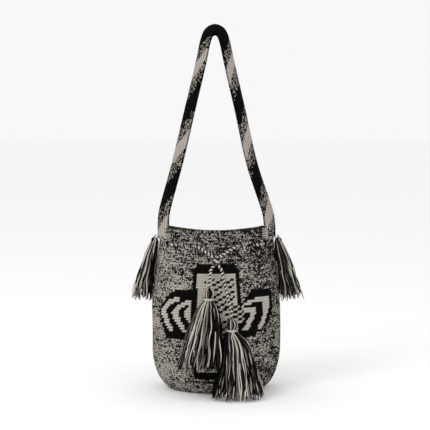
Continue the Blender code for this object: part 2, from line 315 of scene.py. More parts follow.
eyeletGirth = ovalGirth(*ovalAt(eyelets["height"]))
eyeletArcs = list(eyelets["arcs"]) + [eyeletGirth - arc for arc in reversed(eyelets["arcs"])]


def laceAngle(arc):
    halfX, halfY = ovalAt(eyelets["height"])
    return walkOval(halfX, halfY, -math.pi / 2, arc, -1.0)


def halfKnot(startAngle):
    d = drawstring
    points = []
    for i in range(d["knotSteps"] + 1):
        t = i / d["knotSteps"]
        angle = startAngle + 2 * math.pi * t
        points.append(Vector((d["knotMiddle"][0] + d["knotRadius"] * math.cos(angle),
                              d["knotMiddle"][1] + d["knotRadius"] * math.sin(angle),
                              d["knotBottom"] + (d["knotTop"] - d["knotBottom"]) * t)))
    return points


def lacePoints():
    d = drawstring
    outside = d["radius"] + d["gap"]
    inside = -(bagShape["wall"] + outside)
    height = eyelets["height"]
    points = []
    within = True
    for here, there in zip(eyeletArcs, eyeletArcs[1:]):
        points.append(wallPoint(laceAngle(here), height, -bagShape["wall"] / 2))
        run = there - here - 2 * d["lead"]
        parts = max(1, math.ceil(run / (2 * d["step"])))
        for k in range(parts + 1):
            arc = here + d["lead"] + run * k / parts
            points.append(wallPoint(laceAngle(arc), height, inside if within else outside))
        within = not within
    points.append(wallPoint(laceAngle(eyeletArcs[-1]), height, -bagShape["wall"] / 2))
    return points


def cordRoute():
    d = drawstring
    slant = [Vector(p) for p in d["slant"]]
    leftSlant = [Vector((-p.x, p.y, p.z)) for p in slant]
    leftDown = smoothLine(d["leftDrop"], d["routeStep"])
    rightDown = smoothLine(d["rightDrop"], d["routeStep"])
    lace = smoothLine(leftSlant + lacePoints() + slant[::-1], d["routeStep"])
    rough = leftDown + halfKnot(math.pi) + lace + halfKnot(0.0)[::-1] + rightDown[::-1]
    return smoothLine(rough, d["ringStep"])


# Two yarns laid round each other: each is half of the section and one tone.
def makeCord():
    d = drawstring
    route = cordRoute()
    sides = d["sides"]
    valley, swell, power = d["lobe"]
    points, faces, tones = [], [], []
    across = (route[1] - route[0]).orthogonal().normalized()
    along = 0.0
    for i, spot in enumerate(route):
        ahead = (route[min(i + 1, len(route) - 1)] - route[max(i - 1, 0)]).normalized()
        across = (across - ahead * across.dot(ahead)).normalized()
        side = ahead.cross(across)
        if i:
            along += (spot - route[i - 1]).length
        twist = 2 * math.pi * along / d["twist"]
        for k in range(sides):
            angle = 2 * math.pi * k / sides
            lobe = abs(math.cos(angle - twist))
            radius = d["radius"] * (valley + swell * lobe ** power)
            points.append(spot + (across * math.cos(angle) + side * math.sin(angle)) * radius)
    along = 0.0
    rng = random.Random(d["seed"])
    for i in range(len(route) - 1):
        along += (route[i + 1] - route[i]).length
        twist = 2 * math.pi * along / d["twist"]
        for k in range(sides):
            j = (k + 1) % sides
            low = i * sides
            faces.append((low + k, low + j, low + sides + j, low + sides + k))
            lay = math.cos(2 * math.pi * (k + 0.5) / sides - twist)
            light = d["yarnTones"][0] if lay > -0.1 else d["yarnTones"][1]
            tones.append(light + rng.uniform(-d["toneSpread"], d["toneSpread"]))
    faces.append(tuple(range(sides - 1, -1, -1)))
    last = (len(route) - 1) * sides
    faces.append(tuple(range(last, last + sides)))
    tones += [0.5, 0.5]
    cord = addMesh("drawCord", points, faces, tones, cordYarn, True)
    return cord, route, along


drawCord, drawRoute, drawLength = makeCord()
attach(drawCord, "bag")
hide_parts("drawstring")
print("drawstring made", round(drawLength, 3), "m")

# A stitch is three columns wide and a row is two levels high.
crochet = {
    "stitches": 160,
    "rows": 70,
    "acrossEach": 3,
    "relief": 0.0011,
    "sink": 0.0005,
    "valley": 0.12,
    "pinch": 0.35,
    "unevenness": 0.00010,
    "sag": 0.0012,
    "innerTopRows": 14,
    "innerStep": 7,
    "innerRelief": 0.6,
    "crown": 0.0016,
    "baseRings": 12,
    "baseRib": 0.0007,
    "clearance": 0.0003,
    "seed": 21,
    "rimFrom": 0.285,
    "rimDroop": 0.0034,
    "blend": 0.45,
    "patches": 0.24,
    "patchLevels": 8,
    "patchColumns": 14,
    "streaks": 0.085,
    "streakLength": 13,
    # Painted light and shade: the left side lighter and the right darker, and the upper front
    # darker.
    "paintedLeftLight": 0.072,
    "paintedTopShade": 0.12,
    "topFrom": 0.70,
    "topFade": 0.15,
    "topTurn": 0.2,
    "darkest": 0.335,
    "spread": 0.29,
    "tones": (0.90, 0.02),
    # Painted shade: the inner face's tones are scaled down so the inside reads dark.
    "paintedInnerShade": 0.55,
    "paintedEyeletShade": 0.1,
}

# The chart: stitches left and right of the front's middle, rows up from the base.
chart = {
    "rowHeight": 0.0045,
    "barBlack": ((-11, 54.4), (10, 54.4), (10, 52.4), (11.6, 52.4), (11.6, 6.6), (-11.6, 6.6),
                 (-12.3, 40), (-12.3, 52.4), (-11, 52.4)),
    "barCream": ((-9.4, 50.6), (8.6, 50.6), (8.6, 49.8), (9.2, 49.8), (9.2, 9.2), (-9.4, 9.2),
                 (-10.1, 49.8), (-9.4, 49.8)),
    "leftWing": ((-8.5, 43.1), (-12, 43.1), (-22.6, 42.6), (-26.6, 39.2), (-30.3, 33.6), (-28, 28.6),
                 (-24.9, 23.1), (-14.1, 23.1), (-11.4, 24.9), (-8.5, 27)),
    "leftOuter": ((-18.7, 40.3), (-23.4, 39.1), (-26.6, 36.8), (-29.1, 34), (-27.1, 30.6),
                  (-24.6, 27.4), (-23.3, 25.6), (-20.9, 25.6), (-22.3, 28.1), (-24.3, 31.1),
                  (-25.7, 34), (-23.7, 36.3), (-21.4, 37.7), (-18.7, 38.5)),
    "leftInner": ((-12.1, 39.1), (-15.7, 38.8), (-19.1, 36.6), (-22.6, 34), (-20.6, 30.6),
                  (-17.9, 27.4), (-15.7, 25.4), (-13.7, 25.4), (-15.4, 27.9), (-17.7, 31.1),
                  (-19, 33.8), (-17.1, 35.8), (-14.9, 37.2), (-12.1, 37.6)),
    "leftHeart": ((-12.1, 36.7), (-13.1, 36.7), (-16.1, 33.7), (-13.1, 30.4), (-12.1, 30.4)),
    "rightWing": ((10.7, 37.1), (11.4, 37.6), (17.3, 43.1), (28.1, 42.8), (28.6, 34.8),
                  (25.7, 29.6), (21.1, 26.1), (14, 24), (9, 24.6), (9, 30)),
    "rightOuter": ((11.1, 37.2), (13.7, 38.3), (16.4, 39), (19.6, 40.2), (26.3, 40.2),
                   (26.3, 35.6), (24.6, 31.9), (22.9, 28.4), (20.6, 26.4), (18.4, 26.4),
                   (20.4, 29.2), (22, 32.4), (23, 35.6), (23, 38.2), (19.6, 38.2), (16.4, 37.6),
                   (13.7, 37), (11.1, 36.2)),
    "rightInner": ((10.4, 35.2), (13.6, 35.7), (19, 35.7), (18.4, 33.6), (16.9, 31), (14.7, 28),
                   (12.9, 26.4), (10.7, 26.4), (12.7, 29), (14.7, 31.5), (15.7, 33.4),
                   (15.7, 34.1), (13.6, 34.1), (10.4, 33.8)),
    "rightHeart": ((10, 32.7), (12.7, 32.7), (11.7, 30.6), (9.4, 29.9), (8.9, 31.1)),
    "checker": (2, 12, 30, 37),
    "checkerSlope": 1.4,
    "checkerNotch": (11, 36.2),
    "checkerCream": 0.9,
    "twill": (-7, 8, 12, 48),
    "denseFrom": -2,
    "sparseAbove": 36,
    "dashChance": 0.95,
    "reach": 32,
}


def insideShape(x, y, corners):
    hit = False
    for (ax, ay), (bx, by) in zip(corners, corners[1:] + corners[:1]):
        if (ay > y) != (by > y) and x < ax + (y - ay) * (bx - ax) / (by - ay):
            hit = not hit
    return hit


# One stitch's tone, or None where the mixed yarn shows.
def chartTone(stitch, row, height, rng):
    x, y = stitch, height / chart["rowHeight"]
    left, right, low, high = chart["checker"]
    notchX, notchY = chart["checkerNotch"]
    slope = right - (y - low) * chart["checkerSlope"]
    if left <= stitch <= right and low <= y <= high and x > slope:
        if y < notchY or x < notchX:
            return 0.0 if (stitch // 2 + row) % 2 == 0 else chart["checkerCream"]
    for name in ("leftOuter", "leftInner", "leftHeart", "rightOuter", "rightInner", "rightHeart"):
        if insideShape(x, y, chart[name]):
            return 1.0
    if insideShape(x, y, chart["barCream"]):
        left, right, low, high = chart["twill"]
        if left <= stitch <= right and low <= y <= high:
            if stitch >= chart["denseFrom"]:
                dash = (2 * stitch + row) % 5 in (0, 3)
            else:
                dash = row % 3 == 0 and stitch % 2 == 0 and y > chart["sparseAbove"]
            if dash and rng.random() < chart["dashChance"]:
                return 0.0
        return 1.0
    for name in ("barBlack", "leftWing", "rightWing"):
        if insideShape(x, y, chart[name]):
            return 0.0
    return None


# Heights, evenly spaced along the wall's own profile.
def profileHeights(count):
    fine = np.linspace(0.0, 1.0, 1500) ** 2 * bagShape["height"]
    halves = np.array([ovalAt(z) for z in fine]).mean(axis=1)
    steps = np.hypot(np.diff(fine), np.diff(halves))
    length = np.concatenate([[0.0], np.cumsum(steps)])
    return np.interp(np.linspace(0.0, length[-1], count + 1), length, fine)


# Angles that part the oval into equal stitches, from the front's middle to the right.
def evenAngles(halfX, halfY, count):
    fine = np.linspace(0.0, 2 * math.pi, 2881)
    speed = np.hypot(halfX * np.cos(fine), halfY * np.sin(fine))
    length = np.concatenate([[0.0], np.cumsum((speed[1:] + speed[:-1]) / 2 * np.diff(fine))])
    return np.interp(np.linspace(0.0, length[-1], count + 1)[:-1], length, fine) - math.pi / 2


def wallGrid(levels, columns):
    heights = profileHeights(levels)
    rimFrom = crochet["rimFrom"]
    grid = np.zeros((levels + 1, columns, 3))
    for k, z in enumerate(heights):
        halfX, halfY = ovalAt(z)
        angles = evenAngles(halfX, halfY, columns)
        sine = np.sin(angles)
        dip = np.where(sine < 0, bagShape["frontDip"], bagShape["backDip"])
        grid[k, :, 0] = halfX * np.cos(angles)
        grid[k, :, 1] = halfY * sine
        rim = np.clip((z - rimFrom) / (bagShape["height"] - rimFrom), 0.0, 1.0) ** 2
        droop = crochet["rimDroop"] * rim * np.where(sine < 0, np.abs(np.sin(2 * angles)), 0.0)
        grid[k, :, 2] = z - dip * sine ** 2 * (z / bagShape["height"]) ** 3 - droop
    upward = np.gradient(grid, axis=0)
    around = np.roll(grid, -1, axis=1) - np.roll(grid, 1, axis=1)
    normals = np.cross(around, upward)
    normals /= np.linalg.norm(normals, axis=2, keepdims=True)
    return grid, normals, heights


def mottledTones(levels, columns, rng):
    c = crochet
    rough = rng.random((levels, columns))
    rough = (rough + np.roll(rough, 1, axis=1) * c["blend"]) / (1.0 + c["blend"])
    patch = rng.random((levels // c["patchLevels"] + 2, columns // c["patchColumns"] + 1))
    rows = np.linspace(0, patch.shape[0] - 1.001, levels)
    cols = np.linspace(0, patch.shape[1] - 1.001, columns)
    low, left = rows.astype(int), cols.astype(int)
    a, b = (rows - low)[:, None], (cols - left)[None, :]
    soft = (patch[low][:, left] * (1 - a) * (1 - b) + patch[low + 1][:, left] * a * (1 - b)
            + patch[low][:, left + 1] * (1 - a) * b + patch[low + 1][:, left + 1] * a * b)
    streak = rng.normal(size=(levels // 2, columns))
    streak = sum(np.roll(streak, i, axis=1) for i in range(c["streakLength"]))
    streak = np.repeat(streak / np.std(streak), 2, axis=0)
    # Painted light and shade: tones lighter on the left side, where the lamp falls, darker on the
    # right, and darker on the upper front, in shade under the rim.
    turn = 2 * math.pi * np.arange(columns)[None, :] / columns
    upper = (np.arange(levels)[:, None] / levels - c["topFrom"]) / c["topFade"]
    front = 0.5 + 0.5 * np.cos(turn - c["topTurn"])
    paintedLightAndShade = -c["paintedLeftLight"] * np.sin(turn) - c["paintedTopShade"] * np.clip(upper, 0.0, 1.0) * front
    level = rough + (soft - 0.5) * c["patches"] + streak * c["streaks"] + paintedLightAndShade
    span, black = c["tones"]
    return np.clip((level - c["darkest"]) / c["spread"], 0.0, 1.0) * span + black


def makeCrochet():
    c = crochet
    rng = np.random.default_rng(c["seed"])
    columns = c["stitches"] * c["acrossEach"]
    levels = c["rows"] * 2
    grid, normals, heights = wallGrid(levels, columns)
    k = np.arange(levels + 1)[:, None]
    i = np.arange(columns)[None, :]
    groove = ((i + (k // 2) % 2 + k % 2) % 3 == 0)
    crest = np.where(k % 2 == 1, 1.0, c["valley"]) * np.where(groove, c["pinch"], 1.0)
    relief = crest * c["relief"] - c["sink"]
    relief = relief + rng.normal(0.0, c["unevenness"], relief.shape)
    wave = (np.sin(i * 2 * math.pi * 5 / columns + k * 0.035)
            * np.sin(k * 0.055 + i * 2 * math.pi * 2 / columns))
    lift = np.clip(k / 30.0, 0.0, 1.0)
    relief = relief + wave * c["sag"] * lift
    outer = grid + normals * relief[:, :, None]
    outer[:, :, 2] = np.maximum(outer[:, :, 2], c["clearance"])
    innerGap = bagShape["wall"] - 0.0004
    innerLift = relief[:, :, None] * c["innerRelief"] - 0.0002
    inner = grid - normals * innerGap + normals * innerLift
    points = [tuple(p) for p in outer.reshape(-1, 3)]
    # Mask for painted shade: one minus the crest height, so the grooves between stitches are
    # darkened.
    hollowShade = [float(1.0 - value) for value in crest.reshape(-1)]

    def outerAt(a, b):
        return a * columns + b % columns

    faces, tones = [], []
    faceRng = random.Random(c["seed"])
    half = c["stitches"] // 2
    pattern = {}
    for row in range(c["rows"]):
        for stitch in range(1 - chart["reach"], chart["reach"]):
            tone = chartTone(stitch, row, heights[2 * row + 1], faceRng)
            if tone is not None:
                pattern[(stitch, row)] = tone
    mottled = mottledTones(levels, columns, rng)
    innerMottled = mottledTones(levels, columns, rng)

    # Eyelet openings, as a set of grid cells
    holes = set()
    for a in range(levels):
        z = (heights[a] + heights[a + 1]) / 2
        rise = (z - eyelets["height"]) / eyelets["halfHeight"]
        if abs(rise) > 1.0:
            continue
        for b in range(columns):
            arc = eyeletGirth * (1.0 - (b + 0.5) / columns)
            if any(((arc - e) / eyelets["halfWidth"]) ** 2 + rise * rise < 1.0
                   for e in eyeletArcs):
                holes.add((a, b))

    for a in range(levels):
        for b in range(columns):
            if (a, b) in holes:
                continue
            faces.append((outerAt(a, b), outerAt(a, b + 1), outerAt(a + 1, b + 1),
                          outerAt(a + 1, b)))
            slant = b + 1 - (a % 2)
            stitch = (slant // c["acrossEach"] + half) % c["stitches"] - half
            tone = pattern.get((stitch, a // 2))
            if tone is None:
                tones.append(mottled[a, b])
            else:
                fleck = faceRng.uniform(-0.05, 0.03)
                tones.append(min(max(tone + fleck, 0.0), 1.0))

    # Inner face: fine rows near the mouth, then every few rows down to the floor, darkened as
    # painted shade
    top = levels - 2 * c["innerTopRows"]
    chosen = list(range(levels, top - 1, -1))
    chosen += list(range(top - c["innerStep"], 6, -c["innerStep"]))
    crown = grid[levels] - normals[levels] * bagShape["wall"] / 2
    crown = crown + np.array([0.0, 0.0, c["crown"]])
    base = len(points)
    points += [tuple(p) for p in crown]
    innerStart = len(points)
    for a in chosen:
        points += [tuple(p) for p in inner[a]]
    innerRow = {a: n for n, a in enumerate(chosen)}

    def innerAt(a, b):
        return innerStart + innerRow[a] * columns + b % columns

    for b in range(columns):
        here, after = base + b, base + (b + 1) % columns
        faces.append((outerAt(levels, b), outerAt(levels, b + 1), after, here))
        faces.append((here, after, innerAt(levels, b + 1), innerAt(levels, b)))
        tones += [mottled[levels - 1, b] * 0.8 + 0.1] * 2
    for high, low in zip(chosen, chosen[1:]):
        for b in range(columns):
            if high - low == 1 and (low, b) in holes:
                continue
            faces.append((innerAt(high, b), innerAt(high, b + 1), innerAt(low, b + 1),
                          innerAt(low, b)))
            tones.append(innerMottled[low, b] * c["paintedInnerShade"])

    # Walls of the eyelets, from the outer face to the inner, painted near black as the shade inside
    # the holes
    for a, b in holes:
        edges = (
            (-1, 0, ((a, b), (a, b + 1))), (1, 0, ((a + 1, b + 1), (a + 1, b))),
            (0, -1, ((a + 1, b), (a, b))), (0, 1, ((a, b + 1), (a + 1, b + 1))))
        for da, db, ends in edges:
            if (a + da, (b + db) % columns) in holes:
                continue
            (a0, b0), (a1, b1) = ends
            faces.append((outerAt(a0, b0), outerAt(a1, b1), innerAt(a1, b1), innerAt(a0, b0)))
            tones.append(c["paintedEyeletShade"])

    # Floor inside and base outside, drawn in to their middles
    def closeOval(before, ring, z, outward):
        for m in range(1, c["baseRings"]):
            scale = 1.0 - m / c["baseRings"]
            rib = c["baseRib"] if m % 2 == 0 else 0.0
            here = len(points)
            points.extend((x * scale, y * scale, z + rib) for x, y, _ in ring)
            for b in range(columns):
                after = (b + 1) % columns
                quad = (before[b], here + b, here + after, before[after])
                faces.append(quad if outward else quad[::-1])
                tones.append(mottled[m, b])
            before = range(here, here + columns)
        points.append((0.0, 0.0, z))
        for b in range(columns):
            tri = (before[b], len(points) - 1, before[(b + 1) % columns])
            faces.append(tri if outward else tri[::-1])
            tones.append(mottled[0, b])

    lowest = chosen[-1]
    closeOval([outerAt(0, b) for b in range(columns)], outer[0], c["clearance"], True)
    closeOval([innerAt(lowest, b) for b in range(columns)], inner[lowest],
              bagShape["wall"] + 0.0002, False)
    # The rim, inner face and base points get a flat part of the painted groove shade.
    hollowShade += [0.4] * (len(points) - len(hollowShade))
    return addMesh("crochetBag", points, faces, tones, crochetYarn, True, hollowShade)


crochetBag = makeCrochet()
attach(crochetBag, "bag")
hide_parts("bag_body")
print("crochet made", len(crochetBag.data.polygons))

# The line is the middle of the free strap, (x, z), from left to right over the top.
strap = {
    "width": 0.070,
    "thick": 0.004,
    "gap": 0.0006,
    "end": 0.286,
    "curlTop": 0.92,
    "ribs": 14,
    "perRib": 4,
    "spacing": 0.0021,
    "ribRelief": 0.0005,
    "ribMiddle": 0.75,
    "ribWander": 0.35,
    "ribWaves": 1300,
    "period": 0.156,
    "leftStretch": 0.96,
    "rightStretch": 1.10,
    "leftOffset": 0.020,
    "slant": 1.1,
    "apexLength": 0.055,
    "apexDark": 0.35,
    "creamBelow": 0.22,
    "blackAbove": 0.70,
    "creamTone": 0.93,
    "fleckTone": 0.85,
    "fleckShare": 0.44,
    "fleckFade": 0.55,
    "seed": 8,
    "line": (
        (-0.1052, 0.340), (-0.0822, 0.424), (-0.0580, 0.524), (-0.0371, 0.611), (-0.0285, 0.652),
        (-0.0195, 0.6730), (-0.0028, 0.681), (0.0139, 0.6730), (0.0229, 0.652), (0.0319, 0.611),
        (0.0522, 0.524), (0.0750, 0.424), (0.1030, 0.340)),
}
strapSeat = strap["gap"] + strap["thick"] / 2       # from the bag's wall to the strap's middle


def strapSection(halfX, halfY, curl, count):
    reach = walkOval(halfX, halfY, 0.0, strap["width"] / 2, 1.0)
    section = []
    for i in range(count + 1):
        angle = reach * (2.0 * i / count - 1.0)
        lean = Vector((math.cos(angle) / (halfX * curl), math.sin(angle) / halfY)).normalized()
        section.append((-halfX * (1.0 - math.cos(angle)) * curl, halfY * math.sin(angle), lean))
    return section


def strapLine():
    heights = (strap["end"], (strap["end"] + bagShape["height"]) / 2, bagShape["height"])
    left = [Vector((-(ovalAt(z)[0] + strapSeat), 0.0, z)) for z in heights]
    right = [Vector((-p.x, 0.0, p.z)) for p in left]
    free = [Vector((x, 0.0, z)) for x, z in strap["line"]]
    return smoothLine(left + free + right[::-1], strap["spacing"])


# The slanting woven bands: along is measured from the top, across from -1 to 1.
def strapTone(along, across, rng):
    apex = math.exp(-(along / strap["apexLength"]) ** 2)
    if along < 0:
        along = along * strap["leftStretch"] + strap["leftOffset"]
    else:
        along *= strap["rightStretch"]
    shift = strap["slant"] * across * abs(across) * strap["width"] / 2
    phase = (along + shift) / strap["period"]
    wave = abs((phase % 1.0) * 2.0 - 1.0) + strap["apexDark"] * apex     # 0 in mid cream
    if wave < strap["creamBelow"]:
        return strap["creamTone"]
    if wave > strap["blackAbove"]:
        return 0.0
    share = strap["fleckShare"] - (wave - strap["creamBelow"]) * strap["fleckFade"]
    return strap["fleckTone"] if rng.random() < share else 0.0


def makeStrap():
    count = strap["ribs"] * strap["perRib"]
    line = strapLine()
    top = max(p.z for p in line)
    lengths = [0.0]
    for a, b in zip(line, line[1:]):
        lengths.append(lengths[-1] + (b - a).length)
    apex = lengths[max(range(len(line)), key=lambda n: line[n].z)]
    points, grooveShadeMask, sections = [], [], {}
    for i, spot in enumerate(line):
        ahead = line[min(i + 1, len(line) - 1)] - line[max(i - 1, 0)]
        outward = Vector((-ahead.z, 0.0, ahead.x)).normalized()
        if spot.z <= bagShape["height"]:
            outward = Vector((math.copysign(1.0, spot.x), 0.0, 0.0))
        height = min(spot.z, bagShape["height"])
        curl = 1.0 + (strap["curlTop"] - 1.0) * ease((spot.z - 0.5 * top) / (0.5 * top))
        halfX, halfY = ovalAt(height)
        key = (round(height, 4), round(curl, 3))
        if key not in sections:
            sections[key] = strapSection(halfX + strapSeat, halfY + strapSeat, curl, count)
        outer, inner, hollowShade = [], [], []
        for n, (drop, y, lean) in enumerate(sections[key]):
            # Mask for painted shade: the hollows between the strap's ribs are darkened.
            wander = strap["ribWander"] * math.sin(lengths[i] * strap["ribWaves"])
            rib = abs(math.sin(math.pi * n / strap["perRib"] + wander))
            hollowShade.append(1.0 - rib)
            body = strap["thick"] / 2 + strap["ribRelief"] * (rib - strap["ribMiddle"])
            for face, side in ((outer, body), (inner, -body)):
                out = drop + lean.x * side
                face.append((spot.x + outward.x * out, y + lean.y * side,
                             spot.z + outward.z * out))
        points += outer + inner[::-1]
        grooveShadeMask += hollowShade + hollowShade[::-1]
    ring = 2 * (count + 1)
    faces, tones = [], []
    rng = random.Random(strap["seed"])
    for i in range(len(line) - 1):
        speckles = {}
        for k in range(ring):
            j = (k + 1) % ring
            faces.append((i * ring + k, i * ring + j, (i + 1) * ring + j, (i + 1) * ring + k))
            column = k if k <= count else ring - 1 - k
            cell = (column, k <= count)
            if cell not in speckles:
                across = (column + 0.5) / count * 2.0 - 1.0
                speckles[cell] = strapTone(lengths[i] - apex, across, rng)
            tones.append(speckles[cell])
    faces.append(tuple(range(ring - 1, -1, -1)))
    last = (len(line) - 1) * ring
    faces.append(tuple(range(last, last + ring)))
    tones += [0.5, 0.5]
    return addMesh("wovenStrap", points, faces, tones, shadedBandYarn, True, grooveShadeMask), lengths[-1]


wovenStrap, strapLength = makeStrap()
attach(wovenStrap, "bag")
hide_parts("shoulder_strap")
print("strap made", round(strapLength, 3), "m")

# Short stitches down, along and up round three sides of each strap end.
sewing = {
    "stitches": 34,
    "radius": 0.0009,
    "reachOut": 0.0034,
    "reachIn": 0.0030,
    "belowRim": 0.003,
    "lean": (0.0008, 0.0016),
    "proud": 0.0006,
    "onWall": 0.0010,
    "tuck": 0.0012,
    "tones": (0.85, 0.9, 0.7, 0.3),
}


def makeSewing(name, side):
    s = sewing
    halfX, halfY = ovalAt(strap["end"])
    reach = walkOval(halfX + strapSeat, halfY + strapSeat, 0.0, strap["width"] / 2, 1.0)
    low, high = strap["end"], bagShape["height"] - s["belowRim"]
    onStrap = strap["gap"] + strap["thick"] + s["proud"]
    tall = high - low
    total = 2 * tall + strap["width"]
    strands = []
    rng = random.Random(31 if side > 0 else 32)
    centre = 0.0 if side > 0 else math.pi
    for n in range(s["stitches"]):
        at = total * (n + 0.5) / s["stitches"]
        if at < tall:
            angle, z, outward = -reach, high - at, (-1.0, 0.0)
        elif at < tall + strap["width"]:
            angle = -reach + 2 * reach * (at - tall) / strap["width"]
            z, outward = low, (0.0, -1.0)
        else:
            angle, z, outward = reach, low + at - tall - strap["width"], (1.0, 0.0)
        lean = rng.uniform(*s["lean"])
        line = []
        for t in (0.0, 0.2, 0.4, 0.6, 0.8, 1.0):
            go = -s["reachIn"] + (s["reachIn"] + s["reachOut"]) * t
            shift = outward[0] * go / halfY + (0.0 if outward[0] else (t - 0.5) * lean / halfY)
            rise = outward[1] * go + (0.0 if outward[1] else (t - 0.5) * lean)
            over = ease((t - 0.35) / 0.5)                # 0 on the strap, 1 on the wall
            lift = onStrap * (1.0 - over) + s["onWall"] * over
            if t in (0.0, 1.0):
                lift -= s["tuck"]
            point = wallPoint(centre + angle + shift, z + rise, lift)
            point.z = z + rise
            line.append(point)
        line = smoothLine(line, 0.0012)
        strands.append((line, [s["radius"]] * len(line), rng.choice(s["tones"])))
    return addYarns(name, strands, 6, sewingYarn)


for sideName, side in (("left", -1.0), ("right", 1.0)):
    stitches = makeSewing(sideName + "StrapSewing", side)
    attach(stitches, "bag")
    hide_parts(sideName + "_strap_stitching")
print("sewing made")

# Skirt sections: (height, centre x, centre y, half width, half depth).
tassels = {
    "front": {"head": 0.0106, "neck": 0.0072, "yarn": 0.00115,
              "yarns": 230, "loops": 22, "steps": 15},
    "side": {"head": 0.0068, "neck": 0.0052, "yarn": 0.00105,
             "yarns": 84, "loops": 12, "steps": 12},
    "neckLength": 0.0034,
    "neckShare": 0.84,
    "clumps": (0.45, 0.15, 0.30),
    "blackBelow": 1.30,
    "greyBelow": 0.70,
    "yarnTones": (0.0, 0.56, 0.92),
    "sway": (0.0010, 0.0032),
    "flare": (-0.002, 0.003),
    "headTones": (0.86, 0.86, 0.5, 0.02, 0.02),
    "tieSteps": 66,
    "tieTurns": 3,
    "tieYarn": 0.0009,
    "tieTone": 0.92,
    "hangerLine": ((0.0, -0.0010), (0.0002, 0.0020), (0.0022, 0.0036)),
    "hangerYarn": 0.0012,
    "hangerTone": 0.7,
    "leftHeadAt": (-0.0140, -0.0845, 0.1900),
    "leftSkirt": (
        (0.1700, -0.0148, -0.0865, 0.0135, 0.0095), (0.1580, -0.0167, -0.0895, 0.0200, 0.0108),
        (0.1300, -0.0200, -0.0960, 0.0280, 0.0140), (0.1000, -0.0245, -0.0993, 0.0335, 0.0165),
        (0.0700, -0.0285, -0.1012, 0.0375, 0.0190), (0.0550, -0.0300, -0.1020, 0.0390, 0.0190)),
    "rightHeadAt": (0.0273, -0.0918, 0.1335),
    "rightSkirt": (
        (0.1140, 0.0292, -0.0918, 0.0125, 0.0098), (0.1060, 0.0327, -0.0925, 0.0185, 0.0115),
        (0.0900, 0.0365, -0.0960, 0.0250, 0.0150), (0.0630, 0.0385, -0.1010, 0.0310, 0.0190),
        (0.0350, 0.0392, -0.1070, 0.0375, 0.0230), (0.0080, 0.0385, -0.1120, 0.0435, 0.0270)),
    "sideHeadAt": (0.1165, 0.0, 0.2790),
    "sideSkirt": (
        (0.2830, 0.1146, 0.0, 0.0030, 0.0040), (0.2764, 0.1162, 0.0, 0.0066, 0.0072),
        (0.2700, 0.1182, 0.0, 0.0082, 0.0092),
        (0.2640, 0.1198, 0.0, 0.0092, 0.0105), (0.2500, 0.1238, 0.0, 0.0124, 0.0135),
        (0.2250, 0.1292, 0.0, 0.0138, 0.0170), (0.2000, 0.1350, 0.0, 0.0165, 0.0205),
        (0.1730, 0.1390, 0.0, 0.0188, 0.0240)),
}


# A side tassel's skirt starts at its first section, a front one's inside the neck.
def skirtYarns(kind, headAt, skirt, rng, lightAt, lowest):
    t = tassels[kind]
    fine, coarse, light = tassels["clumps"]
    black, grey, cream = tassels["yarnTones"]
    sections = list(skirt)
    neckTop = skirt[0][0]
    if kind == "front":
        neckTop = headAt[2] - t["head"] * tassels["neckShare"]
        neckLow = neckTop - tassels["neckLength"]
        sections = [(neckTop, headAt[0], headAt[1], t["neck"] - 0.001, t["neck"] - 0.001),
                    (neckLow, headAt[0], headAt[1], t["neck"] - 0.0008, t["neck"] - 0.0008)]
        sections += list(skirt)
    heights = [s[0] for s in sections][::-1]
    shapes = [[s[c] for s in sections][::-1] for c in (1, 2, 3, 4)]
    strands = []
    for n in range(t["yarns"]):
        turn = 2 * math.pi * (n * 0.618034 % 1.0)        # the golden share spreads them evenly
        layer = 1.0 if n % 5 < 3 else rng.uniform(0.25, 0.85)
        layer += rng.uniform(-0.06, 0.03)
        sector = fine * math.sin(turn * 11 + rng.uniform(-0.9, 0.9))
        sector += coarse * math.sin(turn * 3 + 1.0) + light * math.cos(turn - lightAt)
        roll = rng.random()
        tone = grey if roll < tassels["greyBelow"] else cream
        if sector + roll * 2.2 < tassels["blackBelow"]:
            tone = black
        tone = min(max(tone + rng.uniform(-0.08, 0.08), 0.0), 1.0)
        bottom = heights[0] + rng.uniform(-0.003, 0.010)
        bottom = max(bottom, lowest + 0.0035)
        phase, waves = rng.uniform(0, 6.28), rng.uniform(1.2, 2.6)
        sway = rng.uniform(*tassels["sway"])
        flare = rng.uniform(*tassels["flare"])
        line = []
        for i in range(t["steps"] + 1):
            f = i / t["steps"]
            z = neckTop + (bottom - neckTop) * f ** 1.08
            middleX, middleY, halfX, halfY = [float(np.interp(z, heights, shape))
                                              for shape in shapes]
            swayX = sway * f * math.sin(waves * 2 * math.pi * f + phase)
            swayY = sway * f * math.cos(waves * 1.7 * math.pi * f + phase * 1.7)
            x = middleX + (halfX * layer + flare * f) * math.cos(turn) + swayX
            back = (halfY * layer + flare * f) * math.sin(turn) + swayY
            y = middleY + min(back, halfY - 0.0006)      # clear of the bag's wall
            line.append(Vector((x, y, z)))
        line = smoothLine(line, 0.02)
        radii = [t["yarn"] * (1.0 + 0.08 * math.sin(3.1 * i + phase)) for i in range(len(line))]
        radii[-1] *= 0.75
        strands.append((line, radii, tone))
        tip = line[-1]
        fall = (line[-1] - line[-2]).normalized()
        for _ in range(2):
            spread = Vector((rng.uniform(-1, 1), rng.uniform(-1, 0.6), 0)) * 0.0022
            end = tip + fall * rng.uniform(0.002, 0.0045) + spread
            end.z = max(end.z, lowest + 0.0012)
            mid = (tip + end) / 2 + Vector((rng.uniform(-1, 1), rng.uniform(-1, 0.5), 0)) * 0.0006
            start = tip - fall * 0.002
            strands.append(([start, mid, end], [0.0006, 0.0005, 0.0003], tone))
    return strands


